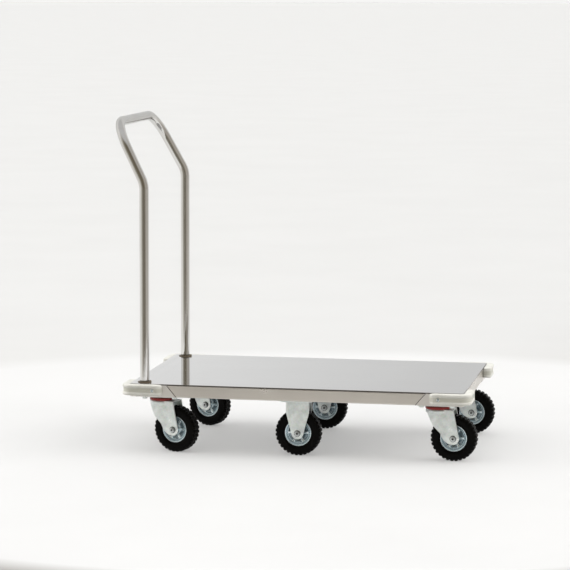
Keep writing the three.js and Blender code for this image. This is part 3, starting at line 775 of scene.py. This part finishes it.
def tyre_mesh():
    radius = AXLE_HEIGHT
    half = [(0.0336, 0.0117), (0.0366, 0.0117), (0.0366, 0.0148), (0.0385, 0.0166), (0.0430, 0.0182),
            (0.0500, 0.0184), (0.0550, 0.0178), (0.0582, 0.0164), (0.0603, 0.0142), (radius, 0.0118),
            (radius, 0.0062), (radius - 0.0010, 0.0056), (radius - 0.0010, 0.0030), (radius, 0.0024)]
    profile = half + [(r, -a) for r, a in reversed(half)]

    def notched(i, j, point):
        r, a = point
        if i % TYRE_LUG_SEGMENTS < 2 and r > TYRE_NOTCH_FROM:
            share = min(1.0, (r - TYRE_NOTCH_FROM) / TYRE_NOTCH_RISE)
            inset = TYRE_LUG_INSET * share * (abs(a) > TYRE_SIDE_FROM)
            return r - TYRE_LUG_DEPTH * share, a - math.copysign(inset, a)
        return r, a

    bm = bmesh.new()
    revolve(bm, fillet(profile, radius=0.0009, steps=2), TYRE_LUGS * TYRE_LUG_SEGMENTS, "Y",
            shift=notched)
    return finished_mesh(bm, "tyre", sharp=math.radians(30))


def rim_mesh():
    """Pressed rim: bright rolled lip, a groove inside it, a disc with six deep hollows, and the hub."""
    lip = fillet([(0.0330, 0.0020), (0.0330, 0.0118), (0.0346, 0.0124), (0.0352, 0.0134), (0.0357, 0.0147),
                  (0.0338, 0.0147), (0.0322, 0.0122), (0.0314, 0.0078), (0.0300, 0.0066), (0.0286, 0.0086),
                  (DISC_OUTER, 0.0102)], radius=0.0008, steps=3, closed=False)
    width, steps = DISC_OUTER - DISC_INNER, 14
    web = [(DISC_OUTER - width * k / steps, 0.0102 - 0.0020 * k / steps) for k in range(1, steps)]
    hub = fillet([(DISC_INNER, 0.0082), (0.0126, 0.0095), (0.0120, 0.0205), (0.0112, 0.0220),
                  (0.0095, 0.0222), (0.0088, 0.0212), (0.0079, 0.0212)], radius=0.0006, steps=2,
                 closed=False)
    side = lip + web + hub
    profile = side + [(r, -a) for r, a in reversed(side)]
    segments = 168

    def embossed(i, j, point):
        r, a = point
        if not DISC_INNER < r < DISC_OUTER:
            return r, a
        turn = (i / segments * RIM_HOLLOWS) % 1.0
        from_rib = (0.5 - abs(turn - 0.5)) * 2 * math.pi / RIM_HOLLOWS * r - RIM_RIB_HALF
        from_rings = min(r - DISC_INNER, DISC_OUTER - r)
        share = smooth_step(min(from_rib, from_rings) / RIM_HOLLOW_SLOPE)
        return r, a - math.copysign(RIM_HOLLOW_DEPTH * share, a)

    bm = bmesh.new()
    revolve(bm, profile, segments, "Y", shift=embossed)
    return finished_mesh(bm, "rim", sharp=math.radians(45))


def inset_outline(outline, inset):
    """A closed outline moved inwards by a distance."""
    count = len(outline)
    area = sum(a[0] * b[1] - b[0] * a[1] for a, b in zip(outline, outline[1:] + outline[:1]))
    moved = []
    for i, point in enumerate(outline):
        arriving = (Vector(point) - Vector(outline[i - 1])).normalized()
        leaving = (Vector(outline[(i + 1) % count]) - Vector(point)).normalized()
        mean = (arriving + leaving).normalized()
        inwards = Vector((-mean.y, mean.x)) * math.copysign(1 / max(0.5, mean.dot(arriving)), area)
        moved.append(Vector(point) + inwards * inset)
    return moved


def rounded_layers(low, high, radius, steps=3):
    """Layers of a plate from low to high: how far each loop is set in, and its level."""
    turns = [math.pi / 2 * k / steps for k in range(steps + 1)]
    lower = [(radius + RIM_SUPPORT, low)]
    lower += [(radius * (1 - math.sin(turn)), low + radius * (1 - math.cos(turn))) for turn in turns]
    return lower + [(inset, low + high - level) for inset, level in reversed(lower)]


def layered(bm, outline, layers, place):
    """A plate built of loops of its outline, each set in and placed at its level."""
    closed_run(bm, [[bm.verts.new(place(point.x, point.y, level)) for point in inset_outline(outline, inset)]
                    for inset, level in layers])


def lying(x, y, level):
    """Place of an outline's point on a plate that lies level."""
    return x, y, level


def legs(bm, outline):
    """A fork's two sheet legs, mirrored about the wheel's middle plane."""
    layers = rounded_layers(LEG_INNER, LEG_OUTER, LEG_RIM)
    for side in (-1, 1):
        layered(bm, outline, layers, lambda x, z, level: (x, side * level, z))


def slice_upright(bm, places):
    """Cuts the mesh along upright planes across X, so that it can bend there."""
    for x in places:
        geometry = bm.verts[:] + bm.edges[:] + bm.faces[:]
        bmesh.ops.bisect_plane(bm, geom=geometry, plane_co=(x, 0, 0), plane_no=(1, 0, 0))


def eye(centre_x, start, end, steps=24):
    """Arc round the axle, from the start angle to the end angle, in degrees."""
    angles = [math.radians(start + (end - start) * k / steps) for k in range(steps + 1)]
    return [Vector((centre_x + EYE_RADIUS * math.cos(angle), AXLE_HEIGHT + EYE_RADIUS * math.sin(angle)))
            for angle in angles]


def rib(bm, points, side):
    """A pressed rib: a low rounded ridge along a line on a leg's outer face, tapered at its ends."""
    rows = []
    count = len(points)
    across_steps, tip = 8, 0.02
    for i, point in enumerate(points):
        before, after = Vector(points[max(0, i - 1)]), Vector(points[min(count - 1, i + 1)])
        along = (after - before).normalized()
        across = Vector((-along.y, along.x))
        taper = math.sin(math.pi * (i + tip) / (count - 1 + 2 * tip)) ** 0.5
        row = []
        for k in range(across_steps + 1):
            t = -1 + 2 * k / across_steps
            spot = Vector(point) + across * t * RIB_HALF_WIDTH * taper
            rise = RIB_HEIGHT * taper * math.cos(t * math.pi / 2) ** 0.8 if abs(t) < 1 else 0
            row.append(bm.verts.new((spot.x, side * (LEG_OUTER - RIB_SUNK + rise), spot.y)))
        rows.append(row)
    bridge_rings(bm, rows, closed=False)


def line_between(start, end, steps=14):
    return [(start[0] + (end[0] - start[0]) * k / steps, start[1] + (end[1] - start[1]) * k / steps)
            for k in range(steps + 1)]


def swivel_leg_outline():
    """Side view of a swivel fork's leg: a slanted front edge, a knee, a broad heel and a round eye."""
    lowest = AXLE_HEIGHT - EYE_RADIUS
    front = [(-CROWN_FRONT, CROWN_TOP), (-KNEE_FRONT, KNEE_HEIGHT), (SHIN_REAR, SHIN_HEIGHT)]
    shin, pull, under = Vector(front[-1]), Vector((HEEL_REAR, lowest)), Vector((TRAIL, lowest))
    steps = 14
    shares = [k / steps for k in range(1, steps)]
    heel = [shin.lerp(pull, t).lerp(pull.lerp(under, t), t) for t in shares]
    crown = Vector((CROWN_REAR, CROWN_TOP))
    return fillet(front, radius=0.008, closed=False) + heel + eye(TRAIL, 270, 371) + [crown]


def swivel_fork_mesh():
    """Two legs that close in on a circle ahead of their bend, the crown's cup, and the bridge."""
    top = CROWN_TOP
    bm = bmesh.new()
    legs(bm, swivel_leg_outline())
    steps = 12
    slice_upright(bm, [-FRONT_BEND - (CROWN_FRONT - FRONT_BEND) * k / steps for k in range(steps)])
    for vert in bm.verts:
        ahead = vert.co.x + FRONT_BEND
        if ahead < 0:
            vert.co.y = math.copysign(math.sqrt(max(0.0, vert.co.y ** 2 - ahead ** 2)), vert.co.y)
    cup = fillet([(0.0065, top), (0.0305, top), (0.0330, top - 0.0026), (0.0330, top - 0.0092),
                  (0.0305, top - 0.0092), (0.0302, top - 0.0030), (0.0065, top - 0.0030)],
                 radius=0.0012, steps=3)
    revolve(bm, cup, 64)
    bridge = [(-FRONT_BEND, -LEG_OUTER), (CROWN_REAR, -LEG_OUTER), (CROWN_REAR, LEG_OUTER),
              (-FRONT_BEND, LEG_OUTER)]
    layered(bm, fillet(bridge, radius=0.002, steps=3),
            rounded_layers(BRIDGE_BOTTOM, BRIDGE_TOP, LEG_RIM), lying)
    return finished_mesh(bm, "swivel_fork")


def fixed_leg_outline(top):
    """Upright sides down to a shoulder, then a taper to the eye at the axle."""
    sides = [Vector((FIXED_HALF_WIDTH, FIXED_SHOULDER)), Vector((FIXED_HALF_WIDTH, top)),
             Vector((-FIXED_HALF_WIDTH, top)), Vector((-FIXED_HALF_WIDTH, FIXED_SHOULDER))]
    return eye(0.0, 195, 345) + sides


def fixed_fork_mesh():
    """Two ribbed legs whose flanks slant inwards, and the plate over them."""
    bm = bmesh.new()
    legs(bm, fixed_leg_outline(FIXED_PLATE_BOTTOM + 0.001))
    slice_upright(bm, [side * (FLANGE_FROM + step) for side in (-1, 1)
                       for step in (-FLANGE_BEND, 0.0, FLANGE_BEND)])
    for vert in bm.verts:
        beyond = abs(vert.co.x) - FLANGE_FROM
        if beyond > -FLANGE_BEND / 2:
            vert.co.y -= math.copysign(max(FLANGE_LEAST, beyond) * FLANGE_SLOPE, vert.co.y)
    for side in (-1, 1):
        for x in (-FIXED_RIB_X, FIXED_RIB_X):
            rib(bm, line_between((x, FIXED_RIB_BOTTOM), (x, FIXED_RIB_TOP)), side)
    corners = [(FIXED_PLATE_X * x, FIXED_PLATE_Y * y) for x, y in SQUARE]
    layered(bm, fillet(corners, FIXED_PLATE_CORNER, steps=5),
            rounded_layers(FIXED_PLATE_BOTTOM, FIXED_PLATE_TOP, radius=0.0006), lying)
    return finished_mesh(bm, "fixed_fork")


def disc(bm, radius, bottom, top, segments):
    """A round disc or rod about Y."""
    revolve(bm, [(0, bottom), (radius, bottom), (radius, top), (0, top)], segments, "Y", closed=False)


def axle_bolt_mesh(socket):
    """Bolt, washers and nut of a wheel, with a socket in its head."""
    bm = bmesh.new()
    face = LEG_OUTER + 0.0003
    hexagon(bm, AXLE_HEX, -face - 0.006, -face - 0.0008, turn=0.3, socket=socket)
    disc(bm, AXLE_WASHER, -face - WASHER_THICKNESS, -face, segments=40)
    disc(bm, AXLE_RADIUS, -face, face + 0.008, segments=24)
    disc(bm, AXLE_WASHER, face, face + WASHER_THICKNESS, segments=40)
    hexagon(bm, AXLE_HEX, face + 0.0008, face + 0.008, turn=0.9)
    threaded(bm, AXLE_RADIUS, face + 0.0079, face + 0.0105, pitch=0.00125)
    return finished_mesh(bm, "axle_bolt")


def dust_seal_mesh():
    low, high = SEAL_BOTTOM, SEAL_TOP
    profile = fillet([(0.0206, low), (0.0332, low), (0.0342, low + 0.0012), (0.0342, low + 0.0045),
                      (0.0330, low + 0.0055), (0.0330, high - 0.0012), (0.0320, high), (0.0206, high)],
                     radius=0.0006, steps=2)
    bm = bmesh.new()
    revolve(bm, profile, 72)
    return finished_mesh(bm, "dust_seal")


def dress_casters():
    tyre, rim, seal = tyre_mesh(), rim_mesh(), dust_seal_mesh()
    axles = {True: axle_bolt_mesh(SWIVEL_SOCKET), False: axle_bolt_mesh(FIXED_SOCKET)}
    forks = {True: swivel_fork_mesh(), False: fixed_fork_mesh()}
    for name in CASTERS + MIDDLES:
        swivels = name in CASTERS
        holder, wheel = f"swivel_{name}" if swivels else "chassis", f"wheel_{name}"
        place = caster_place(name)
        axle_place = place @ Matrix.Translation((TRAIL if swivels else 0, 0, AXLE_HEIGHT))
        skin(f"tyre_{name}", tyre, wheel, TYRE_RUBBER, axle_place)
        skin(f"rim_{name}", rim, wheel, ZINC_RIM, axle_place)
        skin(f"axle_bolt_{name}", axles[swivels], holder, AXLE_STEEL, axle_place)
        skin(f"fork_{name}", forks[swivels], holder, ZINC_PLATE, place)
        if swivels:
            skin(f"dust_seal_{name}", seal, holder, SEAL_PLASTIC, place)
        sleeve = frame["nodes"][f"axle_sleeve_{name}"].data
        sleeve.materials.clear()
        sleeve.materials.append(FASTENER_STEEL.material)


# Studio

# Light that comes from each direction round the object: degrees to the right of the camera, and tone
SURROUNDINGS = (
    (-90, (0.90, 0.89, 0.87)), (-62, (0.56, 0.54, 0.49)), (-40, (0.25, 0.225, 0.18)),
    (-15, (0.17, 0.148, 0.110)), (12, (0.165, 0.144, 0.107)), (30, (0.33, 0.30, 0.25)),
    (55, (0.50, 0.47, 0.43)), (90, (0.42, 0.39, 0.36)), (130, (0.82, 0.81, 0.79)),
    (160, (0.90, 0.90, 0.895)), (200, (0.92, 0.92, 0.915)), (269, (0.90, 0.89, 0.87)),
)
# Sines of the elevations between which the surroundings fade into the zenith's tone
ZENITH_FROM, ZENITH_FULL, ZENITH_TONE = 0.50, 0.85, 0.62
# Width of each sun in the sky, which makes its shadows soft
SUN_SPREAD = math.radians(60)
# Suns, each with its degrees to the right of the camera, its elevation in degrees and its power: low ones
# that brighten the floor under the deck, and others that light the bumpers alone
FILLS = ((-15, 20, 1.0), (-85, 20, 1.3), (85, 20, 2.8))
PLASTIC_GLOW = ((-112, 20, 3.2), (95, 20, 1.2), (180, 75, 2.1))
# Power of a sun overhead that lights the floor alone, so that the shadows on it stay pale
FLOOR_LIFT = 2.05
# Distances from the deck's middle between which the floor's colour is multiplied by the surroundings' light
# tones, as painted shade
FLOOR_FADE = (1.63, 1.80)
FLOOR_REACH = 120.0
CAMERA_FAR = 400.0
# Where a radial gradient is at -Y, as a share of its turn
GRADIENT_AT_CAMERA = 0.25


def surroundings(wiring, way):
    """Tone by direction in the horizontal plane, for a way whose -Y points to the camera."""
    angle = wiring.node("ShaderNodeTexGradient", gradient_type="RADIAL", Vector=way)
    ramp = wiring.node("ShaderNodeValToRGB", Fac=angle.outputs["Fac"])
    stops = ramp.color_ramp.elements
    while len(stops) < len(SURROUNDINGS):
        stops.new(0.5)
    for stop, (degrees, tone) in zip(stops, SURROUNDINGS):
        stop.position = GRADIENT_AT_CAMERA + degrees / 360
        stop.color = colour(*tone)
    return ramp.outputs["Color"]


def floor_finish():
    """Pale floor whose colour beyond a ring round the object is multiplied by the surroundings' light tones,
    painting the dim studio's shade onto it.
    """
    finish = Finish("studio_floor")
    tone = finish.mixed(finish.ranged(finish.noise(1.5, 3.0), *CLOUDS), colour(0.551, 0.550, 0.546),
                        colour(0.534, 0.533, 0.529))
    far = finish.ranged(finish.distance(finish.place), *FLOOR_FADE)
    # Painted shade: the far floor takes the surroundings' light tones as its colour
    shaded_far_floor = finish.mixed(1.0, tone, surroundings(finish, finish.place), "MULTIPLY")
    return finish.use(Metallic=0.0, Roughness=0.75, Base_Color=finish.mixed(far, tone, shaded_far_floor))


def make_floor():
    bm = bmesh.new()
    bm.faces.new([bm.verts.new((x * FLOOR_REACH, y * FLOOR_REACH, 0)) for x, y in SQUARE])
    mesh = bpy.data.meshes.new("studio_floor")
    bm.to_mesh(mesh)
    bm.free()
    mesh.materials.append(floor_finish().material)
    floor = bpy.data.objects.new("studio_floor", mesh)
    floor.matrix_world = Matrix.Translation(DECK_CENTRE) @ Matrix.Rotation(VIEW_AZIMUTH, 4, "Z")
    bpy.context.scene.collection.objects.link(floor)
    return floor


def make_world():
    """A white studio that is dim and warm behind the camera."""
    world = bpy.data.worlds.new("studio")
    world.use_nodes = True
    bpy.context.scene.world = world
    sky = Wiring(world.node_tree)
    way = sky.coordinates.outputs["Generated"]
    turned = sky.node("ShaderNodeMapping", Rotation=(0, 0, -VIEW_AZIMUTH), Vector=way)
    above = sky.node("ShaderNodeMapRange", interpolation_type="SMOOTHSTEP", Value=sky.along(way, "Z"),
                     **{"From Min": ZENITH_FROM, "From Max": ZENITH_FULL})
    zenith = colour(ZENITH_TONE, ZENITH_TONE, ZENITH_TONE)
    tone = sky.mixed(above.outputs["Result"], surroundings(sky, turned.outputs["Vector"]), zenith)
    sky.links.new(tone, sky.nodes["Background"].inputs["Color"])


def add_sun(degrees, elevation, power):
    """A very soft sun that isn't mirrored in the steel."""
    data = bpy.data.lights.new("fill", "SUN")
    data.angle = SUN_SPREAD
    data.energy = power
    light = bpy.data.objects.new("fill", data)
    turned = Matrix.Rotation(VIEW_AZIMUTH + math.radians(degrees), 4, "Z")
    light.matrix_world = turned @ Matrix.Rotation(math.pi / 2 - math.radians(elevation), 4, "X")
    light.visible_glossy = False
    bpy.context.scene.collection.objects.link(light)
    return light


def light_only(light, name, items):
    """Makes a light reach only the given objects."""
    lit = bpy.data.collections.new(name)
    for item in items:
        lit.objects.link(item)
    light.light_linking.receiver_collection = lit


def light_scene(floor):
    """The world, low suns for all, a sun without shadows for the floor, and suns for the bumpers."""
    make_world()
    for sun in FILLS:
        add_sun(*sun)
    lift = add_sun(0, 90, FLOOR_LIFT)
    lift.data.use_shadow = False
    light_only(lift, "lit_floor", [floor])
    bumpers = [bpy.data.objects[f"bumper_{name}"] for name in CASTERS]
    for count, sun in enumerate(PLASTIC_GLOW):
        light_only(add_sun(*sun), f"lit_bumpers_{count}", bumpers)


def make_camera():
    azimuth, elevation = VIEW_AZIMUTH, VIEW_ELEVATION
    right = Vector((math.cos(azimuth), math.sin(azimuth), 0))
    ahead = Vector((-math.sin(azimuth) * math.cos(elevation), math.cos(azimuth) * math.cos(elevation),
                    -math.sin(elevation)))
    up = right.cross(ahead)
    turned_right = right * math.cos(VIEW_ROLL) + up * math.sin(VIEW_ROLL)
    turned_up = up * math.cos(VIEW_ROLL) - right * math.sin(VIEW_ROLL)
    data = bpy.data.cameras.new("camera")
    data.sensor_width = SENSOR
    data.lens = SENSOR * FOCAL_PIXELS / IMAGE_SIDE
    data.clip_end = CAMERA_FAR
    camera = bpy.data.objects.new("camera", data)
    turn = Matrix((turned_right, turned_up, -ahead)).transposed().to_4x4()
    camera.matrix_world = Matrix.Translation(DECK_CENTRE + CAMERA_FROM_DECK) @ turn
    bpy.context.scene.collection.objects.link(camera)
    bpy.context.scene.camera = camera


dress_frame()
dress_bumpers()
dress_handle()
dress_casters()
light_scene(make_floor())
make_camera()
bpy.context.scene.view_settings.view_transform = "Standard"
